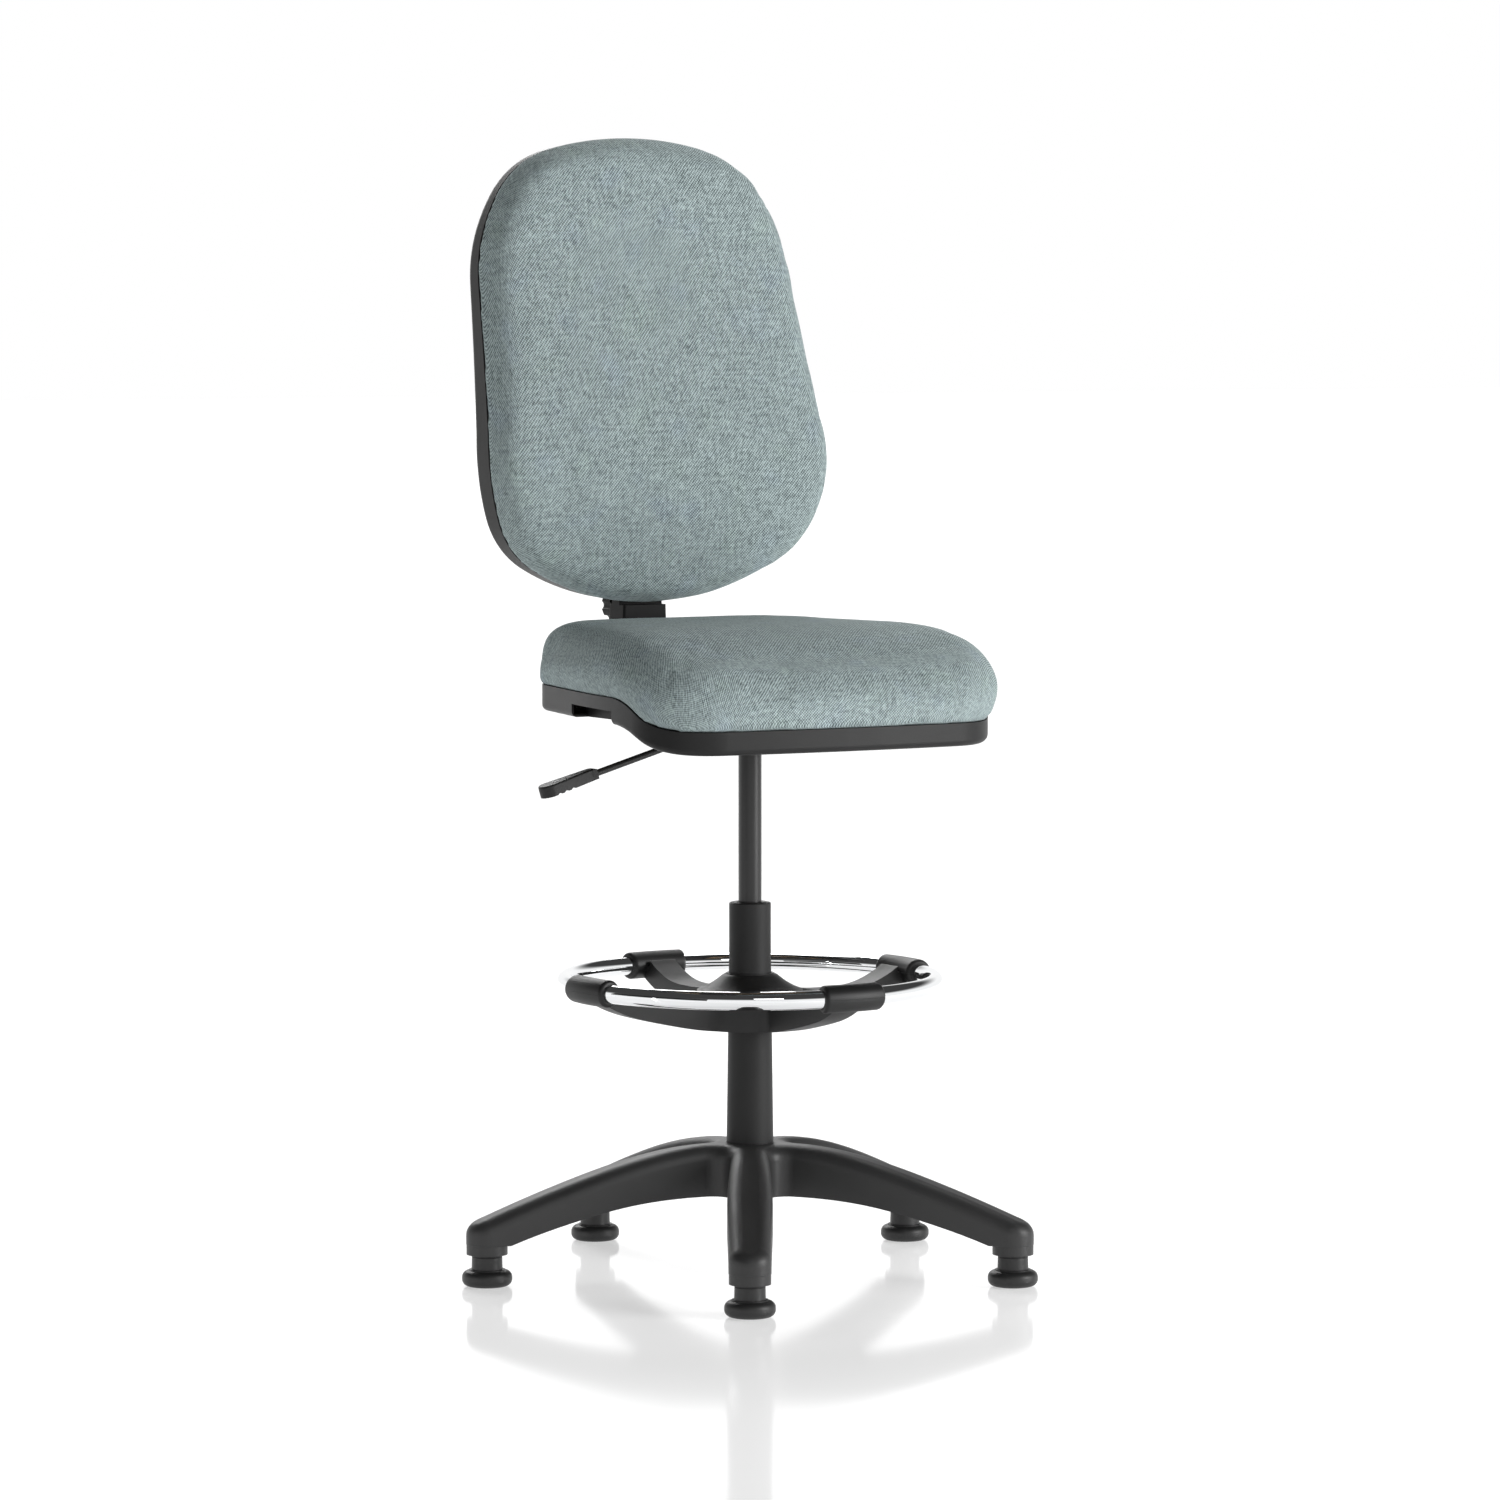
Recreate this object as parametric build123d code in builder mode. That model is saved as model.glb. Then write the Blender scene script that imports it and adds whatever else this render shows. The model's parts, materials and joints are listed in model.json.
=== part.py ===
from build123d import *
from math import cos, radians, sin
import os

# Drafting chair on a five-star base with glides. Millimetres, +Z up, floor at Z = 0.
# The origin is on the column axis at floor level, and the sitter faces -Y.

# Base and glides
LEG_COUNT = 5
FIRST_LEG_ANGLE = 240
GLIDE_CIRCLE_R = 330
LEG_ROOT_HALF = 21.5
LEG_MIDDLE_HALF = 27
LEG_END_R = 25
LEG_END_Z = 38
LEG_BOSS_R = 24.6
LEG_BOSS_H = 14
LEG_EDGE_R = 17
LEG_WALL = 6
HUB_TOP_Z = 159
HUB_BOTTOM_Z = 98
GLIDE_FOOT_R = 30
GLIDE_FOOT_H = 20
GLIDE_NECK_R = 18.5
GLIDE_PIN_R = 5.5

# Column and gas spring
COLUMN_TOP_Z = 450
COLUMN_TOP_R = 25.2
COLUMN_HUB_R = 28.3
COLUMN_BOTTOM_R = 25
COLUMN_BOTTOM_Z = 62
COLUMN_BORE_R = 21
STRAIGHT_TOP = 50
BUSH_LENGTH = 60
GAS_R = 14
GAS_BOTTOM_Z = 250
GAS_TOP_Z = 676
GAS_WALL = 2
GAS_GUIDE_H = 12
GAS_CAVITY_TOP_Z = 660
VALVE_BORE_Z = 664
RELEASE_PIN_R = 4
RELEASE_PIN_BOTTOM_Z = 667.5
RELEASE_PIN_PLAY = 0.25
ROD_R = 5
PISTON_Z = 472
PISTON_H = 14
RUNNING_GAP = 0.05

# Foot ring
RING_Z = 355
RING_R = 223
RING_TUBE_R = 11
RING_ARMS = 4
RING_ARM_ANGLE = 2.3
RING_ARM_HALF = 18
RING_HUB_R = 64
SPIDER_BOTTOM_Z = 298.5
SPIDER_TOP_Z = 364
COLLET_R = 29
CLIP_R = 16.5
CLIP_HALF_ANGLE = 10.1

# Seat
SEAT_FRONT_Y = -232
SEAT_REAR_Y = 245
SEAT_SIDE = [(110, 241), (190, 172), (226, 0), (239, -135), (158, -224.2)]
SEAT_TOP_Z = 785
SEAM_REAR_Z = 709
SEAM_FRONT_Z = 674
RIM_REAR_H = 32
RIM_FRONT_H = 28
BOARD_T = 12
BOARD_INSET = 14
SHELL_T = 3
SHELL_INSET = 2

# Mechanism and lever
WALL_X = 43
PLATE_T = 3
SOCKET_BOTTOM_Z = 634
LEVER_PIVOT_X = -30
LEVER_PIVOT_Z = 686
LEVER_ROD_R = 4
LEVER_EAR_Y = 7.5
LEVER_EAR_DROP = 5
HANDLE_ROOT = (-215, 612.5)
HANDLE_SLOPE = 16.1
RECLINE_Y = 110
RECLINE_Z = 659

# Back bar and clamp
BAR_Y = 270
BAR_T = 8
BAR_HALF = 19
COVER_FRONT_Y = 259
COVER_REAR_Y = 297
COVER_BOTTOM_Z = 647
COVER_STEP_Z = 798
COVER_TOP_Z = 828
STEM_Y = 281.5
STEM_T = 6
STEM_HALF = 18
PLATE_Y = 238.4
SCREW_ZS = (945, 975)
KNOB_Z = 795
KNOB_R = 23
KNOB_REAR_Y = 332

# Backrest: corners of the seam line in the Y-Z plane, as (y, z), from the bottom edge to the top edge
BACK_SEAM = [(268, 790), (224, 960), (294, 1215), (316, 1385)]
BACK_BEND_R = [250, 600]
BACK_SHELL_DEPTH = [37, 43, 30, 23]
BACK_CUSHION_T = 46
BACK_EDGE_R = 20
SHELL_EDGE_R = 12
BACK_BOTTOM_Z = 801
BACK_TOP_Z = 1374
BACK_SIDE = [(163, 843), (219, 908), (232, 1005), (218, 1197), (181, 1308), (112, 1358.4)]

os.makedirs("parts", exist_ok=True)


def flat_length(vertex):
    """Distance of a sketch vertex from the sketch's own origin."""
    return Vector(vertex.X, vertex.Y, 0).length


def arc_chain(points, heading, inset):
    """Adds tangent arcs through the points, moved left of the heading by inset; X = 0 stays X = 0."""
    here, course = Vector(*points[0]), Vector(*heading)
    for corner in points[1:]:
        there = Vector(*corner)
        arc = TangentArc(here, there, tangent=course, mode=Mode.PRIVATE)
        next_course = arc % 1
        start = here + course.rotate(Axis.Z, 90) * inset
        end = there + next_course.rotate(Axis.Z, 90) * inset
        if there.X == 0:
            end = Vector(0, end.Y)
        TangentArc(start, end, tangent=course)
        here, course = there, next_course


def common_solid(sketch_a, direction_a, sketch_b, direction_b):
    """Solid shared by two long extrusions, one of each sketch."""
    with BuildPart() as block_a:
        add(sketch_a)
        extrude(amount=1000, dir=direction_a)
    with BuildPart() as block_b:
        add(sketch_b)
        extrude(amount=1000, dir=direction_b)
    with BuildPart() as shared:
        add(block_a.part)
        add(block_b.part, mode=Mode.INTERSECT)
    return shared.part


# ---------------------------------------------------------------- base


def star_plan(side_inset):
    """Plan of the five legs, joined by rounded corners at the hub, drawn at floor level."""
    root = LEG_ROOT_HALF - side_inset
    middle = LEG_MIDDLE_HALF - side_inset
    end = LEG_END_R - side_inset
    with BuildSketch() as leg:
        with BuildLine():
            side = Spline(
                (0, root),
                (GLIDE_CIRCLE_R * 0.58, middle),
                (GLIDE_CIRCLE_R, end),
                tangents=((1, 0), (1, 0)),
            )
            RadiusArc(side @ 1, (GLIDE_CIRCLE_R, -end), end)
            mirror(side, about=Plane.XZ)
            Line((0, root), (0, -root))
        make_face()
    with BuildSketch() as plan:
        with PolarLocations(0, LEG_COUNT, start_angle=FIRST_LEG_ANGLE):
            add(leg.sketch)
        fillet(plan.vertices().filter_by(lambda v: 5 < flat_length(v) < 60), radius=22)
    return plan.sketch


def star_crown(drop):
    """Half profile under the legs' crown line, lowered by drop."""
    with BuildSketch(Plane.XZ) as crown:
        with BuildLine():
            top = Spline(
                (45, HUB_TOP_Z - drop),
                (126, 150 - drop),
                (226, 121 - drop),
                (370, 66 - drop),
                tangents=((1, 0), (1, -0.42)),
            )
            Polyline(top @ 0, (0, HUB_TOP_Z - drop), (0, 0), (370, 0), top @ 1)
        make_face()
    return crown.sketch


def star_arch():
    """Half profile of the space below the legs, out to the leg ends."""
    with BuildSketch(Plane.XZ) as arch:
        with BuildLine():
            roof = Spline(
                (60, HUB_BOTTOM_Z),
                (172, 89),
                (234, 74),
                (308, 50),
                tangents=((1, 0), (1, -0.38)),
            )
            Polyline(roof @ 1, (400, 50), (400, -10), (0, -10), (0, HUB_BOTTOM_Z), roof @ 0)
        make_face()
    return arch.sketch


outer_plan = star_plan(0)
outer_crown = star_crown(0)
inner_plan = star_plan(LEG_WALL)
inner_crown = star_crown(LEG_WALL + 3)
arch_profile = star_arch()

with BuildPart() as star_base:
    add(outer_plan)
    extrude(amount=200)
    add(outer_crown)
    revolve(axis=Axis.Z, mode=Mode.INTERSECT)
    crown_edges = star_base.edges().filter_by(Axis.Z, reverse=True)
    fillet(crown_edges.filter_by(lambda e: e.center().Z > LEG_END_Z), radius=LEG_EDGE_R)
    add(arch_profile)
    revolve(axis=Axis.Z, mode=Mode.SUBTRACT)
    with PolarLocations(GLIDE_CIRCLE_R, LEG_COUNT, start_angle=FIRST_LEG_ANGLE):
        with Locations((0, 0, LEG_END_Z)):
            Cylinder(LEG_BOSS_R, LEG_BOSS_H, align=(Align.CENTER, Align.CENTER, Align.MIN))

with BuildPart() as leg_hollow:
    add(inner_plan)
    extrude(amount=200)
    add(inner_crown)
    revolve(axis=Axis.Z, mode=Mode.INTERSECT)
    Cylinder(45, 400, mode=Mode.SUBTRACT)
    Cylinder(GLIDE_CIRCLE_R - LEG_END_R - 5, 400, mode=Mode.INTERSECT)

with BuildPart() as star:
    add(star_base.part)
    add(leg_hollow.part, mode=Mode.SUBTRACT)
    with BuildSketch(Plane.XZ):
        with BuildLine():
            Polyline(
                (0, COLUMN_BOTTOM_Z),
                (COLUMN_BOTTOM_R + RUNNING_GAP, COLUMN_BOTTOM_Z),
                (COLUMN_HUB_R + RUNNING_GAP, HUB_TOP_Z + 1),
                (0, HUB_TOP_Z + 1),
                close=True,
            )
        make_face()
    revolve(axis=Axis.Z, mode=Mode.SUBTRACT)
    with PolarLocations(GLIDE_CIRCLE_R, LEG_COUNT, start_angle=FIRST_LEG_ANGLE):
        with Locations((0, 0, LEG_END_Z)):
            Cylinder(GLIDE_PIN_R, 40, align=(Align.CENTER, Align.CENTER, Align.CENTER), mode=Mode.SUBTRACT)
star.part.label = "star_base"
export_step(star.part, "parts/star_base.step")

glide_places = PolarLocations(GLIDE_CIRCLE_R, LEG_COUNT, start_angle=FIRST_LEG_ANGLE).local_locations
for number, place in enumerate(glide_places, start=1):
    x, y = place.position.X, place.position.Y
    with BuildPart() as glide_foot:
        with BuildSketch(Plane.XY):
            with Locations((x, y)):
                Circle(GLIDE_FOOT_R)
        extrude(amount=GLIDE_FOOT_H - 1)
        fillet(glide_foot.edges(), radius=8.5)
        with BuildSketch(Plane.XY.offset(GLIDE_FOOT_H - 3)):
            with Locations((x, y)):
                Circle(GLIDE_NECK_R + 3)
        extrude(amount=3)
        with BuildSketch(Plane.XY.offset(8)):
            with Locations((x, y)):
                Circle(8)
        extrude(amount=GLIDE_FOOT_H, mode=Mode.SUBTRACT)
    glide_foot.part.label = f"glide_foot_{number}"
    export_step(glide_foot.part, f"parts/glide_foot_{number}.step")

    with BuildPart() as glide_neck:
        with BuildSketch(Plane.XY.offset(GLIDE_FOOT_H)):
            with Locations((x, y)):
                Circle(GLIDE_NECK_R)
        extrude(amount=LEG_END_Z - GLIDE_FOOT_H, taper=1.5)
        with BuildSketch(Plane.XY.offset(LEG_END_Z - 3)):
            with Locations((x, y)):
                Circle(GLIDE_NECK_R + 2)
                Circle(GLIDE_NECK_R - 1.2, mode=Mode.SUBTRACT)
        extrude(amount=1, mode=Mode.SUBTRACT)
        with BuildSketch(Plane.XY.offset(8)):
            with Locations((x, y)):
                Circle(8)
        extrude(amount=14)
        with BuildSketch(Plane.XY.offset(LEG_END_Z - 2)):
            with Locations((x, y)):
                Circle(GLIDE_PIN_R)
        extrude(amount=20)
    glide_neck.part.label = f"glide_neck_{number}"
    export_step(glide_neck.part, f"parts/glide_neck_{number}.step")

# ---------------------------------------------------------------- column and gas spring

with BuildPart() as column_tube:
    with BuildSketch(Plane.XZ):
        with BuildLine():
            Polyline(
                (ROD_R + RUNNING_GAP, COLUMN_BOTTOM_Z),
                (COLUMN_BOTTOM_R, COLUMN_BOTTOM_Z),
                (COLUMN_HUB_R, HUB_TOP_Z + 1),
                (COLUMN_TOP_R, COLUMN_TOP_Z - STRAIGHT_TOP),
                (COLUMN_TOP_R, COLUMN_TOP_Z - 1),
                (COLUMN_TOP_R - 1, COLUMN_TOP_Z),
                (COLUMN_BORE_R, COLUMN_TOP_Z),
                (COLUMN_BORE_R, COLUMN_BOTTOM_Z + 6),
                (ROD_R + RUNNING_GAP, COLUMN_BOTTOM_Z + 6),
                close=True,
            )
        make_face()
    revolve(axis=Axis.Z)
column_tube.part.label = "column_tube"
export_step(column_tube.part, "parts/column_tube.step")

with BuildPart() as column_bush:
    with BuildSketch(Plane.XZ):
        with BuildLine():
            Polyline(
                (GAS_R + RUNNING_GAP, COLUMN_TOP_Z - BUSH_LENGTH),
                (COLUMN_BORE_R, COLUMN_TOP_Z - BUSH_LENGTH),
                (COLUMN_BORE_R, COLUMN_TOP_Z),
                (COLUMN_BORE_R - 1, COLUMN_TOP_Z + 1),
                (GAS_R + 1.5, COLUMN_TOP_Z + 1),
                (GAS_R + RUNNING_GAP, COLUMN_TOP_Z),
                close=True,
            )
        make_face()
    revolve(axis=Axis.Z)
column_bush.part.label = "column_bush"
export_step(column_bush.part, "parts/column_bush.step")

with BuildPart() as gas_cylinder:
    with BuildSketch(Plane.XZ):
        with BuildLine():
            Polyline(
                (0, GAS_CAVITY_TOP_Z),
                (GAS_R - GAS_WALL, GAS_CAVITY_TOP_Z),
                (GAS_R - GAS_WALL, GAS_BOTTOM_Z + GAS_GUIDE_H),
                (ROD_R + RUNNING_GAP, GAS_BOTTOM_Z + GAS_GUIDE_H),
                (ROD_R + RUNNING_GAP, GAS_BOTTOM_Z),
                (GAS_R, GAS_BOTTOM_Z),
                (GAS_R, SOCKET_BOTTOM_Z),
                (GAS_R - 1, GAS_TOP_Z),
                (RELEASE_PIN_R + RUNNING_GAP, GAS_TOP_Z),
                (RELEASE_PIN_R + RUNNING_GAP, VALVE_BORE_Z),
                (0, VALVE_BORE_Z),
                close=True,
            )
        make_face()
    revolve(axis=Axis.Z)
gas_cylinder.part.label = "gas_cylinder"
export_step(gas_cylinder.part, "parts/gas_cylinder.step")

with BuildPart() as piston_rod:
    with BuildSketch(Plane.XY.offset(COLUMN_BOTTOM_Z - 8)):
        Circle(ROD_R)
    extrude(amount=PISTON_Z - COLUMN_BOTTOM_Z + 8)
    with BuildSketch(Plane.XY.offset(PISTON_Z)):
        Circle(GAS_R - GAS_WALL - RUNNING_GAP)
    extrude(amount=PISTON_H)
    with BuildSketch(Plane.XY.offset(COLUMN_BOTTOM_Z - 4)):
        Circle(ROD_R + 1)
        Circle(ROD_R - 1, mode=Mode.SUBTRACT)
    extrude(amount=2, mode=Mode.SUBTRACT)
piston_rod.part.label = "piston_rod"
export_step(piston_rod.part, "parts/piston_rod.step")

with BuildPart() as rod_clip:
    with BuildSketch(Plane.XY.offset(COLUMN_BOTTOM_Z - 4)):
        Circle(ROD_R + 5)
        Circle(ROD_R - 1, mode=Mode.SUBTRACT)
        with Locations((0, -ROD_R - 3)):
            Rectangle(5, 9, mode=Mode.SUBTRACT)
    extrude(amount=2)
rod_clip.part.label = "rod_clip"
export_step(rod_clip.part, "parts/rod_clip.step")

with BuildPart() as thrust_bearing:
    with BuildSketch(Plane.XY.offset(COLUMN_BOTTOM_Z + 6.3)):
        Circle(14)
        Circle(ROD_R, mode=Mode.SUBTRACT)
    extrude(amount=5)
thrust_bearing.part.label = "thrust_bearing"
export_step(thrust_bearing.part, "parts/thrust_bearing.step")

with BuildPart() as bump_stop:
    with BuildSketch(Plane.XY.offset(COLUMN_BOTTOM_Z + 11.3)):
        Circle(12)
        Circle(ROD_R, mode=Mode.SUBTRACT)
    extrude(amount=6)
bump_stop.part.label = "bump_stop"
export_step(bump_stop.part, "parts/bump_stop.step")

with BuildPart() as release_pin:
    with BuildSketch(Plane.XY.offset(RELEASE_PIN_BOTTOM_Z)):
        Circle(RELEASE_PIN_R)
    extrude(amount=LEVER_PIVOT_Z - LEVER_ROD_R - RELEASE_PIN_PLAY - RELEASE_PIN_BOTTOM_Z)
    chamfer(release_pin.edges().sort_by(Axis.Z)[-1], length=0.6)
release_pin.part.label = "release_pin"
export_step(release_pin.part, "parts/release_pin.step")

# ---------------------------------------------------------------- foot ring


def column_radius(z):
    """Outer radius of the column's tapered stretch at height z."""
    top_z = COLUMN_TOP_Z - STRAIGHT_TOP
    share = (top_z - z) / (top_z - HUB_TOP_Z - 1)
    return COLUMN_TOP_R + (COLUMN_HUB_R - COLUMN_TOP_R) * max(share, 0)


def clip_barrel(angle):
    """Barrel round the ring tube, over one arm's end, with its ends eased."""
    start = Plane.XZ.rotated((0, 0, angle - CLIP_HALF_ANGLE))
    with BuildPart() as barrel:
        with BuildSketch(start):
            with Locations((RING_R, RING_Z)):
                Circle(CLIP_R)
        revolve(axis=Axis.Z, revolution_arc=2 * CLIP_HALF_ANGLE)
        fillet(barrel.faces().filter_by(GeomType.PLANE).edges(), radius=4.5)
    return barrel.part


ring_arm_angles = [RING_ARM_ANGLE + 90 * turn for turn in range(RING_ARMS)]
clip_barrels = [clip_barrel(angle) for angle in ring_arm_angles]

with BuildPart() as chrome_ring:
    with Locations((0, 0, RING_Z)):
        Torus(RING_R, RING_TUBE_R)
chrome_ring.part.label = "chrome_ring"
export_step(chrome_ring.part, "parts/chrome_ring.step")

with BuildPart() as ring_space:
    with Locations((0, 0, RING_Z)):
        Torus(RING_R, RING_TUBE_R + 0.1)

with BuildPart() as spider_web:
    with BuildSketch(Plane.XY.offset(280)) as spider_plan:
        Circle(RING_HUB_R)
        with PolarLocations(RING_R / 2, RING_ARMS, start_angle=RING_ARM_ANGLE):
            Rectangle(RING_R, 2 * RING_ARM_HALF)
        fillet(spider_plan.vertices().filter_by(lambda v: flat_length(v) < RING_HUB_R + 5), radius=16)
    extrude(amount=100)
    with BuildSketch(Plane.XZ):
        with BuildLine():
            under = Spline(
                (48, SPIDER_BOTTOM_Z),
                (118, 308),
                (157, 317),
                (192, 328),
                (RING_R, RING_Z - RING_TUBE_R),
                tangents=((1, 0), (1, 0.6)),
            )
            over = Spline(
                (34, 362),
                (66, 344),
                (120, 339),
                (165, 344),
                (198, 359),
                (RING_R, RING_Z + RING_TUBE_R),
                tangents=((1, -0.9), (1, 0.1)),
            )
            Line(under @ 1, over @ 1)
            Polyline(
                over @ 0,
                (COLLET_R + 1.5, SPIDER_TOP_Z),
                (0, SPIDER_TOP_Z),
                (0, SPIDER_BOTTOM_Z),
                under @ 0,
            )
        make_face()
    revolve(axis=Axis.Z, mode=Mode.INTERSECT)

with BuildPart() as ring_spider:
    add(spider_web.part)
    for barrel in clip_barrels:
        add(barrel)
    with BuildSketch(Plane.XY.offset(RING_Z)):
        Circle(RING_R + 40)
        Circle(RING_R - RING_TUBE_R - 9, mode=Mode.SUBTRACT)
    extrude(amount=60, mode=Mode.SUBTRACT)
    add(ring_space.part, mode=Mode.SUBTRACT)
    Cylinder(COLLET_R + 0.1, 1000, mode=Mode.SUBTRACT)
ring_spider.part.label = "ring_spider"
export_step(ring_spider.part, "parts/ring_spider.step")

for number, barrel in enumerate(clip_barrels, start=1):
    with BuildPart() as ring_clip:
        add(barrel)
        with BuildSketch(Plane.XY.offset(RING_Z + 0.1)):
            Rectangle(700, 700)
        extrude(amount=-60, mode=Mode.SUBTRACT)
        Cylinder(RING_R - RING_TUBE_R - 8.9, 1000, mode=Mode.SUBTRACT)
        add(ring_space.part, mode=Mode.SUBTRACT)
    ring_clip.part.label = f"ring_clip_{number}"
    export_step(ring_clip.part, f"parts/ring_clip_{number}.step")

with BuildPart() as ring_collet:
    with BuildSketch(Plane.XZ):
        with BuildLine():
            Polyline(
                (column_radius(299) + 0.3, 299),
                (COLLET_R, 299),
                (COLLET_R, 365),
                (column_radius(365) + 0.3, 365),
                close=True,
            )
        make_face()
    revolve(axis=Axis.Z)
ring_collet.part.label = "ring_collet"
export_step(ring_collet.part, "parts/ring_collet.step")

# ---------------------------------------------------------------- seat


def seat_plan(inset):
    """Seat outline, drawn in by inset: bowed edges with well rounded corners."""
    with BuildSketch() as plan:
        with BuildLine():
            arc_chain([(0, SEAT_REAR_Y), *SEAT_SIDE, (0, SEAT_FRONT_Y)], (1, 0), -inset)
            mirror(about=Plane.YZ)
        make_face()
    return plan.sketch


def dip_line(rear_z, front_z):
    """Adds a side-view line that is level at the rear and dips to front_z at the front edge."""
    middle = (-145, (rear_z + front_z) / 2)
    TangentArc((-75, rear_z), middle, tangent=(-1, 0))
    TangentArc((-215, front_z), middle, tangent=(1, 0))


def seat_band(low, high):
    """Side profile between two dip lines, each given as (rear_z, front_z)."""
    with BuildSketch(Plane.YZ.offset(-400)) as band:
        with BuildLine():
            dip_line(*low)
            dip_line(*high)
            Polyline((-75, low[0]), (300, low[0]), (300, high[0]), (-75, high[0]))
            Polyline((-215, low[1]), (-300, low[1]), (-300, high[1]), (-215, high[1]))
        make_face()
    return band.sketch


def seat_layer(inset, low, high):
    """Solid with the seat outline between two dip lines."""
    side = seat_band(low, high)
    plan = seat_plan(inset)
    return common_solid(side, (1, 0, 0), plan, (0, 0, 1))


SEAM = (SEAM_REAR_Z, SEAM_FRONT_Z)
BOARD_TOP = (SEAM_REAR_Z + BOARD_T, SEAM_FRONT_Z + BOARD_T)
RIM_BOTTOM = (SEAM_REAR_Z - RIM_REAR_H, SEAM_FRONT_Z - RIM_FRONT_H)
bolt_places = [(x, y) for x in (-57, 57) for y in (-55, 105)]

rim_top = (SEAM[0] - 0.3, SEAM[1] - 0.3)
floor_top = (RIM_BOTTOM[0] + SHELL_T, RIM_BOTTOM[1] + SHELL_T)
open_top = (SEAM[0] + 5, SEAM[1] + 5)
cushion_plan = seat_plan(0)
board_blank = seat_layer(BOARD_INSET, SEAM, BOARD_TOP)
shell_blank = seat_layer(SHELL_INSET, RIM_BOTTOM, rim_top)
shell_hollow = seat_layer(SHELL_INSET + SHELL_T, floor_top, open_top)

with BuildSketch(Plane.YZ.offset(-400)) as cushion_side:
    with BuildLine():
        dip_line(*SEAM)
        front_fall = TangentArc((-40, SEAT_TOP_Z), (-300, SEAT_TOP_Z - 84), tangent=(-1, 0))
        Polyline((-75, SEAM[0]), (300, SEAM[0]), (300, SEAT_TOP_Z), front_fall @ 0)
        Polyline((-215, SEAM[1]), (-300, SEAM[1]), front_fall @ 1)
    make_face()
cushion_blank = common_solid(cushion_side.sketch, (1, 0, 0), cushion_plan, (0, 0, 1))

with BuildPart() as seat_cushion:
    add(cushion_blank)
    fillet(seat_cushion.faces().sort_by(Axis.Z)[-1].outer_wire().edges(), radius=26)
    add(board_blank, mode=Mode.SUBTRACT)
seat_cushion.part.label = "seat_cushion"
export_step(seat_cushion.part, "parts/seat_cushion.step")

with BuildPart() as seat_bolts:
    with BuildSketch(Plane.XY.offset(SEAM_REAR_Z - PLATE_T - 4.5)):
        with Locations(*bolt_places):
            RegularPolygon(radius=5.5, side_count=6)
    extrude(amount=4.5)
    with BuildSketch(Plane.XY.offset(SEAM_REAR_Z - PLATE_T - 1)):
        with Locations(*bolt_places):
            Circle(3)
    extrude(amount=PLATE_T + 10)
seat_bolts.part.label = "seat_bolts"
export_step(seat_bolts.part, "parts/seat_bolts.step")

with BuildPart() as seat_board:
    add(board_blank)
    add(seat_bolts.part, mode=Mode.SUBTRACT)
seat_board.part.label = "seat_board"
export_step(seat_board.part, "parts/seat_board.step")

with BuildPart() as seat_shell:
    add(shell_blank)
    fillet(seat_shell.faces().sort_by(Axis.Z)[0].outer_wire().edges(), radius=7)
    add(shell_hollow, mode=Mode.SUBTRACT)
    with Locations((0, 20, RIM_BOTTOM[0])):
        Box(180, 270, 60, mode=Mode.SUBTRACT)
    for side in (-1, 1):
        with Locations((side * 240, -12, RIM_BOTTOM[0] + 5)):
            Box(100, 140, 22, mode=Mode.SUBTRACT)
        with Locations((side * 188.5, -12, RIM_BOTTOM[0] + 15)):
            Box(SHELL_T, 146, 30)
seat_shell.part.label = "seat_shell"
export_step(seat_shell.part, "parts/seat_shell.step")

# ---------------------------------------------------------------- mechanism and lever

PLATE_Z = SEAM_REAR_Z - PLATE_T
FLOOR_Z = 645

with BuildPart() as mech_channel:
    with BuildSketch(Plane.XY.offset(PLATE_Z)):
        with Locations((0, 25)):
            RectangleRounded(144, 196, 8)
    extrude(amount=PLATE_T)
    for side in (-1, 1):
        with Locations((side * (WALL_X - PLATE_T / 2), 30, (FLOOR_Z + PLATE_Z) / 2)):
            Box(PLATE_T, 186, PLATE_Z - FLOOR_Z)
    with Locations((0, -61.5, (FLOOR_Z + PLATE_Z) / 2)):
        Box(2 * WALL_X, PLATE_T, PLATE_Z - FLOOR_Z)
    with Locations((0, -4, FLOOR_Z + PLATE_T / 2)):
        Box(2 * WALL_X, 118, PLATE_T)
    for side in (-1, 1):
        with Locations((LEVER_PIVOT_X, side * LEVER_EAR_Y, (LEVER_PIVOT_Z - LEVER_EAR_DROP + PLATE_Z) / 2)):
            Box(12, PLATE_T, PLATE_Z - LEVER_PIVOT_Z + LEVER_EAR_DROP)
    with Locations((-WALL_X, 0, LEVER_PIVOT_Z)):
        Box(12, 14, 16, mode=Mode.SUBTRACT)
    with Locations((0, RECLINE_Y, RECLINE_Z)):
        Cylinder(5, 100, rotation=(0, 90, 0), mode=Mode.SUBTRACT)
    with Locations((LEVER_PIVOT_X, 0, LEVER_PIVOT_Z)):
        Cylinder(2, 30, rotation=(90, 0, 0), mode=Mode.SUBTRACT)
    with Locations((0, 0, FLOOR_Z)):
        Cylinder(24, 20, mode=Mode.SUBTRACT)
    add(seat_bolts.part, mode=Mode.SUBTRACT)
mech_channel.part.label = "mech_channel"
export_step(mech_channel.part, "parts/mech_channel.step")

with BuildPart() as taper_socket:
    with BuildSketch(Plane.XY.offset(SOCKET_BOTTOM_Z)):
        Circle(24)
    extrude(amount=GAS_TOP_Z - SOCKET_BOTTOM_Z)
    add(gas_cylinder.part, mode=Mode.SUBTRACT)
    Cylinder(GAS_R - 1.5, 2 * GAS_TOP_Z, mode=Mode.SUBTRACT)
taper_socket.part.label = "taper_socket"
export_step(taper_socket.part, "parts/taper_socket.step")

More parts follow.
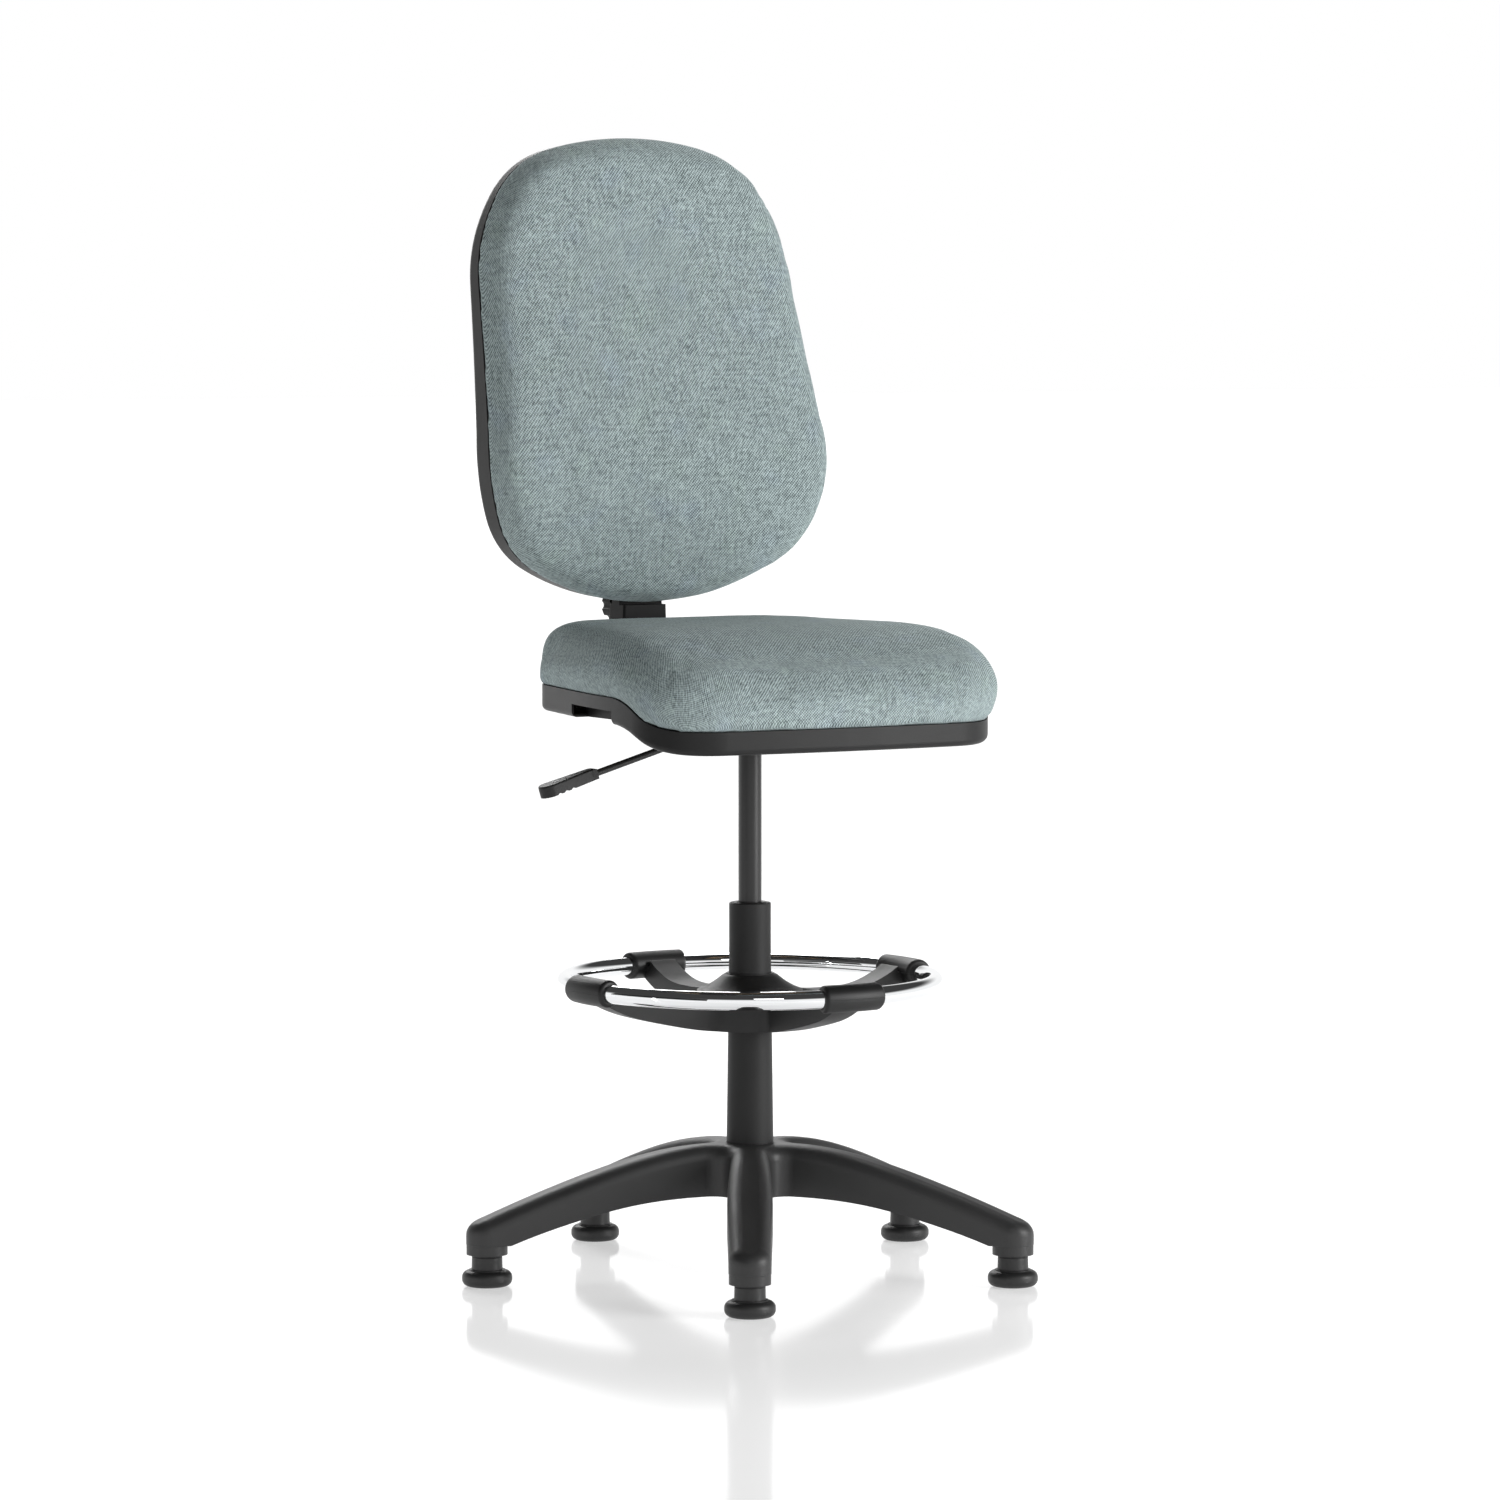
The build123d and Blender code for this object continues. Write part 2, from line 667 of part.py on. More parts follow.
with BuildPart() as lever_pivot_pin:
    with Locations((LEVER_PIVOT_X, 0, LEVER_PIVOT_Z)):
        Cylinder(2, 22, rotation=(90, 0, 0))
lever_pivot_pin.part.label = "lever_pivot_pin"
export_step(lever_pivot_pin.part, "parts/lever_pivot_pin.step")

with BuildPart() as recline_pin:
    with Locations((0, RECLINE_Y, RECLINE_Z)):
        Cylinder(5, 2 * WALL_X + 6, rotation=(0, 90, 0))
recline_pin.part.label = "recline_pin"
export_step(recline_pin.part, "parts/recline_pin.step")

slope_x = cos(radians(HANDLE_SLOPE))
slope_z = sin(radians(HANDLE_SLOPE))
handle_plane = Plane(
    origin=(HANDLE_ROOT[0], 0, HANDLE_ROOT[1]),
    x_dir=(-slope_x, 0, -slope_z),
    z_dir=(-slope_z, 0, slope_x),
)
rod_end = handle_plane.from_local_coords(Vector(22, 0, 0))
rod_elbow = handle_plane.from_local_coords(Vector(-160, 0, 0))

with BuildPart() as lever_rod:
    with BuildLine():
        FilletPolyline(
            (rod_end.X, 0, rod_end.Z),
            (rod_elbow.X, 0, rod_elbow.Z),
            (-52, 0, LEVER_PIVOT_Z),
            (9, 0, LEVER_PIVOT_Z),
            radius=11,
        )
    with BuildSketch(Plane((rod_end.X, 0, rod_end.Z), z_dir=(slope_x, 0, slope_z))):
        Circle(LEVER_ROD_R)
    sweep()
    with Locations((LEVER_PIVOT_X, 0, LEVER_PIVOT_Z)):
        Cylinder(2 + RUNNING_GAP, 20, rotation=(90, 0, 0), mode=Mode.SUBTRACT)
lever_rod.part.label = "lever_rod"
export_step(lever_rod.part, "parts/lever_rod.step")

with BuildPart() as lever_handle:
    with BuildSketch(handle_plane.offset(-6)):
        with Locations((6, 0)):
            Circle(7)
        with Locations((60, 0)):
            Circle(13)
        make_hull()
    extrude(amount=14)
    fillet(lever_handle.edges().group_by(Axis.Z)[-1], radius=2)
    with BuildSketch(handle_plane.offset(-6)):
        with Locations((2, 0)):
            Rectangle(12, 12)
    extrude(amount=12)
    with BuildSketch(handle_plane * Plane.XZ.offset(-20)):
        with Locations((34, -8), (44, -8), (54, -8)):
            Circle(3.6)
    extrude(amount=40, mode=Mode.SUBTRACT)
    add(lever_rod.part, mode=Mode.SUBTRACT)
lever_handle.part.label = "lever_handle"
export_step(lever_handle.part, "parts/lever_handle.step")

# ---------------------------------------------------------------- back bar and clamp


def bar_line():
    """Centre line of the bent bar, from its eye under the seat to its upper end."""
    return FilletPolyline((RECLINE_Y, RECLINE_Z), (BAR_Y, RECLINE_Z), (BAR_Y, COVER_STEP_Z - 8), radius=30)


with BuildPart() as j_bar:
    with BuildSketch(Plane.YZ):
        with BuildLine():
            bar_line()
        trace(line_width=BAR_T)
        with Locations((RECLINE_Y, RECLINE_Z)):
            Circle(9)
            Circle(5 + RUNNING_GAP, mode=Mode.SUBTRACT)
    extrude(amount=BAR_HALF, both=True)
j_bar.part.label = "j_bar"
export_step(j_bar.part, "parts/j_bar.step")

with BuildPart() as bar_cover:
    with BuildSketch(Plane.YZ) as cover_side:
        with BuildLine():
            Polyline(
                (150, COVER_BOTTOM_Z),
                (COVER_REAR_Y, COVER_BOTTOM_Z),
                (COVER_REAR_Y, COVER_STEP_Z),
                (290, COVER_STEP_Z),
                (290, COVER_TOP_Z),
                (271, COVER_TOP_Z),
                (271, COVER_STEP_Z),
                (COVER_FRONT_Y, COVER_STEP_Z),
                (COVER_FRONT_Y, COVER_BOTTOM_Z + 23),
                (150, COVER_BOTTOM_Z + 23),
                close=True,
            )
        make_face()
        fillet(cover_side.vertices().sort_by(Axis.Y)[0:2].sort_by(Axis.X)[-1], radius=42)
    extrude(amount=40, both=True)
    with BuildSketch(Plane.XZ):
        with BuildLine():
            Polyline(
                (-29, COVER_TOP_Z + 1),
                (29, COVER_TOP_Z + 1),
                (35, COVER_BOTTOM_Z - 1),
                (-35, COVER_BOTTOM_Z - 1),
                close=True,
            )
        make_face()
    extrude(amount=400, both=True, mode=Mode.INTERSECT)
    side_edges = bar_cover.edges().filter_by(lambda e: abs(e.center().X) > BAR_HALF + 1)
    fillet(side_edges.filter_by(lambda e: e.center().Z < COVER_STEP_Z - 1), radius=3)
    with BuildSketch(Plane.YZ):
        with BuildLine():
            bar_line()
        trace(line_width=BAR_T + 0.6)
    extrude(amount=BAR_HALF + 0.3, both=True, mode=Mode.SUBTRACT)
    with Locations((0, STEM_Y, COVER_TOP_Z)):
        Box(2 * BAR_HALF, 9, 240, mode=Mode.SUBTRACT)
    with Locations((0, (BAR_Y + STEM_Y) / 2, 740)):
        Box(2 * BAR_HALF, STEM_Y - BAR_Y, 90, mode=Mode.SUBTRACT)
    with Locations((0, COVER_REAR_Y, KNOB_Z)):
        Cylinder(4.1, 40, rotation=(90, 0, 0), mode=Mode.SUBTRACT)
bar_cover.part.label = "bar_cover"
export_step(bar_cover.part, "parts/bar_cover.step")

knob_plane = Plane(origin=(0, COVER_REAR_Y, KNOB_Z), x_dir=(1, 0, 0), z_dir=(0, 1, 0))
knob_depth = KNOB_REAR_Y - COVER_REAR_Y

with BuildPart() as knob_body:
    with BuildSketch(knob_plane.offset(12)):
        Circle(KNOB_R)
        with PolarLocations(KNOB_R + 2.5, 8):
            Circle(5.5, mode=Mode.SUBTRACT)
    extrude(amount=knob_depth - 12)
    fillet(knob_body.faces().sort_by(Axis.Y)[-1].edges(), radius=3)
    with BuildSketch(knob_plane.offset(12)):
        Circle(KNOB_R - 6.5)
    extrude(amount=knob_depth - 18, mode=Mode.SUBTRACT)
    with BuildSketch(knob_plane.offset(1)):
        Circle(9)
    extrude(amount=knob_depth - 3)
    with BuildSketch(knob_plane):
        Circle(4)
    extrude(amount=knob_depth - 8, mode=Mode.SUBTRACT)
knob_body.part.label = "knob_body"
export_step(knob_body.part, "parts/knob_body.step")

with BuildPart() as knob_stud:
    with BuildSketch(knob_plane.offset(-COVER_REAR_Y + STEM_Y + STEM_T / 2 + 0.4)):
        Circle(4)
    extrude(amount=COVER_REAR_Y - STEM_Y - STEM_T / 2 - 0.4 + knob_depth - 8)
knob_stud.part.label = "knob_stud"
export_step(knob_stud.part, "parts/knob_stud.step")

# ---------------------------------------------------------------- backrest


def back_plan(inset):
    """Front outline of the backrest, drawn in by inset: broad below, narrower and squarer at the top."""
    with BuildSketch(Plane.XZ.offset(-500)) as plan:
        with BuildLine():
            arc_chain([(0, BACK_BOTTOM_Z), *BACK_SIDE, (0, BACK_TOP_Z)], (1, 0), inset)
            mirror(about=Plane.YZ)
        make_face()
    return plan.sketch


def back_band(front, rear):
    """Side profile between two copies of the seam line, each shifted along Y by its list."""
    with BuildSketch(Plane.YZ.offset(-300)) as band:
        with BuildLine():
            fore_points = [(y + shift, z) for (y, z), shift in zip(BACK_SEAM, front)]
            fore = FilletPolyline(*fore_points, radius=BACK_BEND_R)
            aft_points = [(y + shift, z) for (y, z), shift in zip(BACK_SEAM, rear)]
            aft = FilletPolyline(*aft_points, radius=BACK_BEND_R)
            Line(fore @ 0, aft @ 0)
            Line(fore @ 1, aft @ 1)
        make_face()
    return band.sketch


def back_layer(inset, front, rear):
    """Solid with the backrest outline between two shifted seam lines."""
    side = back_band(front, rear)
    plan = back_plan(inset)
    return common_solid(side, (1, 0, 0), plan, (0, -1, 0))


def shifts(amount):
    """The same shift at every point of the seam line."""
    return [amount] * len(BACK_SEAM)


def rim_edges(solid, sign):
    """Edges round the front (sign -1) or the rear (sign 1) faces of a backrest layer."""
    broad = [face for face in solid.faces() if face.normal_at(face.center()).Y * sign > 0.6]
    found = [edge for face in broad for edge in face.edges()]
    return [edge for edge in found if sum(edge.is_same(other) for other in found) == 1]


with BuildPart() as back_stem:
    with BuildSketch(Plane.YZ):
        with BuildLine():
            FilletPolyline((STEM_Y, 712), (STEM_Y, 846), (PLATE_Y, 930), (PLATE_Y, 990), radius=22)
        trace(line_width=STEM_T)
    extrude(amount=STEM_HALF, both=True)
    with Locations(*[(0, PLATE_Y, z) for z in SCREW_ZS]):
        Cylinder(3, 20, rotation=(90, 0, 0), mode=Mode.SUBTRACT)
back_stem.part.label = "back_stem"
export_step(back_stem.part, "parts/back_stem.step")

with BuildPart() as back_screws:
    with Locations(*[(0, PLATE_Y + 5, z) for z in SCREW_ZS]):
        Cylinder(5.5, 4, rotation=(90, 0, 0))
    with Locations(*[(0, PLATE_Y - 5, z) for z in SCREW_ZS]):
        Cylinder(3, 17, rotation=(90, 0, 0))
back_screws.part.label = "back_screws"
export_step(back_screws.part, "parts/back_screws.step")

inner_depth = [depth - SHELL_T for depth in BACK_SHELL_DEPTH]
back_board_blank = back_layer(BOARD_INSET, shifts(-BOARD_T), shifts(0))
back_cushion_blank = back_layer(0, shifts(-BACK_CUSHION_T), shifts(0))
back_shell_blank = back_layer(SHELL_INSET, shifts(0.3), BACK_SHELL_DEPTH)
back_shell_hollow = back_layer(SHELL_INSET + SHELL_T, shifts(-1), inner_depth)

with BuildPart() as back_board:
    add(back_board_blank)
    add(back_screws.part, mode=Mode.SUBTRACT)
back_board.part.label = "back_board"
export_step(back_board.part, "parts/back_board.step")

with BuildPart() as back_cushion:
    add(back_cushion_blank)
    fillet(rim_edges(back_cushion, -1), radius=BACK_EDGE_R)
    add(back_board_blank, mode=Mode.SUBTRACT)
back_cushion.part.label = "back_cushion"
export_step(back_cushion.part, "parts/back_cushion.step")

with BuildPart() as back_shell_core:
    add(back_shell_hollow)
    fillet(rim_edges(back_shell_core, 1), radius=SHELL_EDGE_R - SHELL_T)

with BuildPart() as back_shell:
    add(back_shell_blank)
    fillet(rim_edges(back_shell, 1), radius=SHELL_EDGE_R)
    add(back_shell_core.part, mode=Mode.SUBTRACT)
    with Locations((0, 275, 800)):
        Box(68, 80, 44, mode=Mode.SUBTRACT)
back_shell.part.label = "back_shell"
export_step(back_shell.part, "parts/back_shell.step")
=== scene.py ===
import json
import math

import bmesh
import bpy
import numpy as np
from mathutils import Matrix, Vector
from mathutils.bvhtree import BVHTree


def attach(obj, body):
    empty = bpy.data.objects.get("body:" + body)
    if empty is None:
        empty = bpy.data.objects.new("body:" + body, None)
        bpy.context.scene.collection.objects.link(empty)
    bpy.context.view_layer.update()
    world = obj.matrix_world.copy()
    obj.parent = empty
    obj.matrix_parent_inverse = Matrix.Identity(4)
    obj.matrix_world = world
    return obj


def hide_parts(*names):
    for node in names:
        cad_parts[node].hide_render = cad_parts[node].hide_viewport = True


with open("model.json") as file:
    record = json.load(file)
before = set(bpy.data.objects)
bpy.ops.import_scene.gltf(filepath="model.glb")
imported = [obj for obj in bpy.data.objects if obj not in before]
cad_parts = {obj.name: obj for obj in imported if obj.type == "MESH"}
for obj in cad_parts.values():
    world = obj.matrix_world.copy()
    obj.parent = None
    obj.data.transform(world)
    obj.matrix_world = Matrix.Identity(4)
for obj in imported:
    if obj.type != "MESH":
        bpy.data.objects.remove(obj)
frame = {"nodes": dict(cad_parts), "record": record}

# Cloth: ribs of the twill and of the threads crossing it, per metre, as (across, along)
TWILL_RIBS = (260.0, -220.0)
THREAD_RIBS = (250.0, 320.0)
RIB_WANDER = 0.5

# Cushions, in metres
VOXEL = 0.005
SWELL_FRAMES = 20
SEAM_HELD = 0.005
SIDE_HEIGHT = 0.078
SEAM_TUCK_REACH = 0.006

# Lever paddle: where its middle plane starts at the rod, its slope, and half its thickness
PADDLE_ROOT = Vector((-0.215, 0.0, 0.6125))
PADDLE_SLOPE = math.radians(16.1)
PADDLE_HALF = 0.008

# Stage
FLOOR_HALF = 60.0
FLOOR_DROP = 0.0006
CAMERA_DISTANCE = 7.5
CAMERA_HEIGHT = 1.175
CAMERA_TURN = math.radians(30)
CAMERA_TILT = math.radians(90 - 4.127)

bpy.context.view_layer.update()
scene = bpy.context.scene
nodes = frame["nodes"]


# ---------------------------------------------------------------- node helpers


def new_material(name):
    """A material with an empty Principled shader, and its node tree and shader."""
    material = bpy.data.materials.new(name)
    material.use_nodes = True
    tree = material.node_tree
    return material, tree, tree.nodes["Principled BSDF"]


def link(tree, source, target):
    """Joins an output socket to an input socket; a number or colour is set on the input instead."""
    if isinstance(source, bpy.types.NodeSocket):
        tree.links.new(source, target)
    else:
        target.default_value = source


def maths(tree, operation, a, b=0.0):
    node = tree.nodes.new("ShaderNodeMath")
    node.operation = operation
    link(tree, a, node.inputs[0])
    link(tree, b, node.inputs[1])
    return node.outputs[0]


def remap(tree, value, low, high, to_low=0.0, to_high=1.0):
    """Smoothly maps value from low..high onto to_low..to_high."""
    node = tree.nodes.new("ShaderNodeMapRange")
    node.interpolation_type = "SMOOTHSTEP"
    link(tree, value, node.inputs["Value"])
    node.inputs["From Min"].default_value = low
    node.inputs["From Max"].default_value = high
    node.inputs["To Min"].default_value = to_low
    node.inputs["To Max"].default_value = to_high
    return node.outputs["Result"]


def mix(tree, share, a, b, blend="MIX"):
    node = tree.nodes.new("ShaderNodeMix")
    node.data_type = "RGBA"
    node.blend_type = blend
    link(tree, share, node.inputs[0])
    link(tree, a, node.inputs[6])
    link(tree, b, node.inputs[7])
    return node.outputs[2]


def stretched(tree, vector, scale):
    """The vector times scale, axis by axis."""
    node = tree.nodes.new("ShaderNodeVectorMath")
    node.operation = "MULTIPLY"
    link(tree, vector, node.inputs[0])
    node.inputs[1].default_value = scale
    return node.outputs[0]


def noise(tree, vector, scale, detail=2.0, roughness=0.5):
    """Fractal noise; scale is its features per metre."""
    node = tree.nodes.new("ShaderNodeTexNoise")
    link(tree, vector, node.inputs["Vector"])
    node.inputs["Scale"].default_value = scale
    node.inputs["Detail"].default_value = detail
    node.inputs["Roughness"].default_value = roughness
    return node.outputs["Fac"]


def object_place(tree):
    return tree.nodes.new("ShaderNodeTexCoord").outputs["Object"]


def bump(tree, height, distance, strength, normal=None):
    node = tree.nodes.new("ShaderNodeBump")
    node.inputs["Distance"].default_value = distance
    node.inputs["Strength"].default_value = strength
    link(tree, height, node.inputs["Height"])
    if normal is not None:
        link(tree, normal, node.inputs["Normal"])
    return node.outputs["Normal"]


def grey(level):
    return (level, level, level * 1.01, 1.0)


# ---------------------------------------------------------------- materials


def fabric_material():
    """Light grey-teal heather wool with a fine twill, on the cloth's own coordinates, which the mesh holds."""
    material, tree, shader = new_material("heather_twill")
    place = tree.nodes.new("ShaderNodeAttribute")
    place.attribute_name = "cloth_place"
    place = place.outputs["Vector"]
    split = tree.nodes.new("ShaderNodeSeparateXYZ")
    link(tree, place, split.inputs[0])
    across, along = split.outputs[0], split.outputs[1]
    wander = noise(tree, place, 160.0, 1.0)
    wobble = maths(tree, "MULTIPLY", maths(tree, "SUBTRACT", wander, 0.5), RIB_WANDER)

    def ribs(per_metre_across, per_metre_along):
        phase = maths(
            tree,
            "ADD",
            maths(tree, "MULTIPLY", across, 2 * math.pi * per_metre_across),
            maths(tree, "MULTIPLY", along, 2 * math.pi * per_metre_along),
        )
        return maths(tree, "SINE", maths(tree, "ADD", phase, wobble))

    twill = maths(tree, "MULTIPLY", ribs(*TWILL_RIBS), 0.30)
    cross = maths(tree, "MULTIPLY", ribs(*THREAD_RIBS), 0.20)
    threads = maths(tree, "ADD", maths(tree, "ADD", twill, cross), 0.5)
    fleck = noise(tree, stretched(tree, place, (1.0, 0.75, 1.0)), 520.0, 2.0, 0.6)
    slub_down = noise(tree, stretched(tree, place, (1.0, 0.16, 1.0)), 210.0, 2.0, 0.6)
    slub_across = noise(tree, stretched(tree, place, (0.16, 1.0, 1.0)), 210.0, 2.0, 0.6)
    heather = maths(tree, "ADD", slub_down, slub_across)
    blotch = noise(tree, place, 26.0, 3.0, 0.6)
    tint = noise(tree, place, 17.0, 1.0, 0.5)

    # Speckle drawn out along the twill
    rib_turn = tree.nodes.new("ShaderNodeVectorRotate")
    rib_turn.rotation_type = "Z_AXIS"
    rib_turn.inputs["Angle"].default_value = -math.atan2(TWILL_RIBS[0], -TWILL_RIBS[1])
    link(tree, place, rib_turn.inputs["Vector"])
    speckle = noise(tree, stretched(tree, rib_turn.outputs[0], (0.42, 1.0, 1.0)), 390.0, 1.0, 0.5)
    tone = maths(tree, "ADD", maths(tree, "MULTIPLY", threads, 0.85), maths(tree, "MULTIPLY", fleck, 0.25))
    for pattern, middle, strength in ((speckle, 0.5, 0.9), (heather, 1.0, 0.45), (blotch, 0.5, 0.14)):
        swing = maths(tree, "MULTIPLY", maths(tree, "SUBTRACT", pattern, middle), strength)
        tone = maths(tree, "ADD", tone, swing)
    # Yarn colours, from the darkest fibre to the lightest
    ramp = tree.nodes.new("ShaderNodeValToRGB")
    stops = ramp.color_ramp.elements
    stops[0].position, stops[0].color = 0.20, (0.085, 0.108, 0.112, 1)
    stops[1].position, stops[1].color = 0.92, (0.490, 0.590, 0.592, 1)
    for position, colour in ((0.40, (0.195, 0.240, 0.243, 1)), (0.62, (0.312, 0.378, 0.381, 1))):
        stop = stops.new(position)
        stop.color = colour
    link(tree, tone, ramp.inputs[0])
    colour = ramp.outputs[0]
    colour = mix(tree, remap(tree, tint, 0.56, 0.74, 0.0, 0.22), colour, (0.95, 0.97, 1.18, 1), "MULTIPLY")
    colour = mix(tree, remap(tree, tint, 0.42, 0.26, 0.0, 0.22), colour, (1.00, 1.06, 0.93, 1), "MULTIPLY")
    dark_fleck = remap(tree, noise(tree, place, 420.0, 1.0, 0.5), 0.66, 0.76, 0.0, 0.75)
    colour = mix(tree, dark_fleck, colour, (0.06, 0.08, 0.095, 1))
    link(tree, colour, shader.inputs["Base Color"])
    link(tree, remap(tree, fleck, 0.3, 0.7, 0.82, 0.96), shader.inputs["Roughness"])
    height = maths(tree, "ADD", threads, maths(tree, "MULTIPLY", fleck, 0.3))
    link(tree, bump(tree, height, 0.0005, 0.4), shader.inputs["Normal"])
    shader.inputs["Specular IOR Level"].default_value = 0.18
    shader.inputs["Sheen Weight"].default_value = 0.12
    shader.inputs["Sheen Roughness"].default_value = 0.5
    shader.inputs["Sheen Tint"].default_value = (0.80, 0.88, 0.88, 1)
    return material


def plastic_material(name, level, gloss, grain_mm, grain_strength, edge=0.0008, specular=0.5, wear=0.5):
    """Moulded black plastic with a fine grain, cloudy gloss and slightly rubbed edges."""
    material, tree, shader = new_material(name)
    place = object_place(tree)
    clouds = noise(tree, place, 14.0, 3.0, 0.55)
    grain = noise(tree, place, 1000.0 / grain_mm, 2.0, 0.6)
    soft_edge = tree.nodes.new("ShaderNodeBevel")
    soft_edge.samples = 4
    soft_edge.inputs["Radius"].default_value = edge
    facing = tree.nodes.new("ShaderNodeVectorMath")
    facing.operation = "DOT_PRODUCT"
    link(tree, soft_edge.outputs[0], facing.inputs[0])
    link(tree, tree.nodes.new("ShaderNodeNewGeometry").outputs["Normal"], facing.inputs[1])
    rubbed = remap(tree, facing.outputs["Value"], 0.985, 0.86, 0.0, 1.0)
    rubbed = maths(tree, "MULTIPLY", rubbed, remap(tree, noise(tree, place, 60.0, 2.0), 0.35, 0.7, 0.2, 1.0))
    colour = mix(tree, clouds, grey(level * 0.78), grey(level * 1.22))
    colour = mix(tree, maths(tree, "MULTIPLY", rubbed, wear), colour, grey(level * 2.6))
    link(tree, colour, shader.inputs["Base Color"])
    rough = maths(tree, "ADD", gloss - 0.06, maths(tree, "MULTIPLY", clouds, 0.12))
    rough = maths(tree, "SUBTRACT", rough, maths(tree, "MULTIPLY", rubbed, 0.08))
    link(tree, rough, shader.inputs["Roughness"])
    link(tree, bump(tree, grain, 0.00025, grain_strength, soft_edge.outputs[0]), shader.inputs["Normal"])
    shader.inputs["Specular IOR Level"].default_value = specular
    return material


def painted_material(name, level, gloss, peel_mm, peel_strength, drawn=0.0, specular=0.5):
    """Black powder coat or enamel on steel, with orange peel; drawn adds faint lines along the axis."""
    material, tree, shader = new_material(name)
    place = object_place(tree)
    clouds = noise(tree, place, 11.0, 3.0, 0.5)
    peel = noise(tree, place, 1000.0 / peel_mm, 2.0, 0.5)
    lines = noise(tree, stretched(tree, place, (1.0, 1.0, 0.02)), 900.0, 2.0, 0.6)
    soft_edge = tree.nodes.new("ShaderNodeBevel")
    soft_edge.samples = 4
    soft_edge.inputs["Radius"].default_value = 0.0007
    link(tree, mix(tree, clouds, grey(level * 0.8), grey(level * 1.25)), shader.inputs["Base Color"])
    rough = maths(tree, "ADD", gloss - 0.05, maths(tree, "MULTIPLY", clouds, 0.10))
    rough = maths(tree, "ADD", rough, maths(tree, "MULTIPLY", maths(tree, "SUBTRACT", lines, 0.5), drawn))
    link(tree, rough, shader.inputs["Roughness"])
    height = maths(tree, "ADD", peel, maths(tree, "MULTIPLY", lines, drawn * 4))
    link(tree, bump(tree, height, 0.0002, peel_strength, soft_edge.outputs[0]), shader.inputs["Normal"])
    shader.inputs["Specular IOR Level"].default_value = specular
    return material


def metal_material(name, dark, light, gloss, brushed):
    """Plated or brushed steel: smudged gloss, and fine lines where brushed is above 0."""
    material, tree, shader = new_material(name)
    place = object_place(tree)
    smudge = noise(tree, place, 9.0, 3.0, 0.6)
    lines = noise(tree, stretched(tree, place, (1.0, 1.0, 0.04)), 1400.0, 2.0, 0.6)
    link(tree, mix(tree, smudge, dark, light), shader.inputs["Base Color"])
    rough = maths(tree, "ADD", gloss, maths(tree, "MULTIPLY", remap(tree, smudge, 0.45, 0.75), 0.05))
    rough = maths(tree, "ADD", rough, maths(tree, "MULTIPLY", lines, brushed))
    link(tree, rough, shader.inputs["Roughness"])
    link(tree, bump(tree, lines, 0.0001, 0.02 + brushed), shader.inputs["Normal"])
    shader.inputs["Metallic"].default_value = 1.0
    return material


def plywood_material():
    """Pale birch veneer with long grain along Y, and darker plies showing as lines up the edges."""
    material, tree, shader = new_material("birch_plywood")
    place = object_place(tree)
    grain = noise(tree, stretched(tree, place, (1.0, 0.05, 1.0)), 240.0, 4.0, 0.6)
    figure = noise(tree, stretched(tree, place, (1.0, 0.2, 1.0)), 18.0, 3.0, 0.55)
    colour = mix(tree, grain, (0.36, 0.24, 0.13, 1), (0.70, 0.53, 0.34, 1))
    colour = mix(tree, remap(tree, figure, 0.35, 0.7, 0.0, 0.4), colour, (0.45, 0.31, 0.18, 1))
    link(tree, colour, shader.inputs["Base Color"])
    link(tree, remap(tree, grain, 0.3, 0.7, 0.55, 0.75), shader.inputs["Roughness"])
    link(tree, bump(tree, grain, 0.0004, 0.4), shader.inputs["Normal"])
    return material


def floor_material():
    """Glossy white studio acrylic, a little lit from beneath."""
    material, tree, shader = new_material("white_acrylic")
    place = object_place(tree)
    cloud = noise(tree, place, 1.3, 2.0)
    link(tree, mix(tree, cloud, (0.86, 0.86, 0.86, 1), (0.90, 0.90, 0.90, 1)), shader.inputs["Base Color"])
    link(tree, remap(tree, cloud, 0.3, 0.7, 0.07, 0.11), shader.inputs["Roughness"])
    shader.inputs["Specular IOR Level"].default_value = 0.22
    shader.inputs["Emission Color"].default_value = (1, 1, 1, 1)
    shader.inputs["Emission Strength"].default_value = 0.46
    return material


fabric = fabric_material()
shell_plastic = plastic_material("shell_plastic", 0.010, 0.46, 0.9, 0.22, specular=0.30)
part_plastic = plastic_material("part_plastic", 0.011, 0.46, 0.8, 0.22, specular=0.4)
# Painted shade: a darker, less shiny copy of the black part plastic, for the bar cover and knob that sit in
# the shade of the back and seat
shade_darkened_plastic = plastic_material("shade_darkened_plastic", 0.006, 0.46, 0.8, 0.22, specular=0.12, wear=0.3)
base_nylon = plastic_material("base_nylon", 0.026, 0.46, 1.1, 0.18, edge=0.0014, specular=0.5)
glide_nylon = plastic_material("glide_nylon", 0.015, 0.46, 0.9, 0.22)
rubber = plastic_material("rubber", 0.014, 0.72, 0.6, 0.35, specular=0.3, wear=0.2)
column_paint = painted_material("column_paint", 0.013, 0.55, 1.2, 0.25, specular=0.36)
cylinder_paint = painted_material("cylinder_paint", 0.010, 0.34, 2.2, 0.06, drawn=0.05)
bar_paint = painted_material("bar_paint", 0.018, 0.48, 1.2, 0.2)
chrome = metal_material("chrome_plate", (0.86, 0.87, 0.88, 1), (0.93, 0.94, 0.95, 1), 0.025, 0.0)
bright_steel = metal_material("bright_steel", (0.50, 0.50, 0.50, 1), (0.66, 0.66, 0.65, 1), 0.24, 0.12)
plywood = plywood_material()

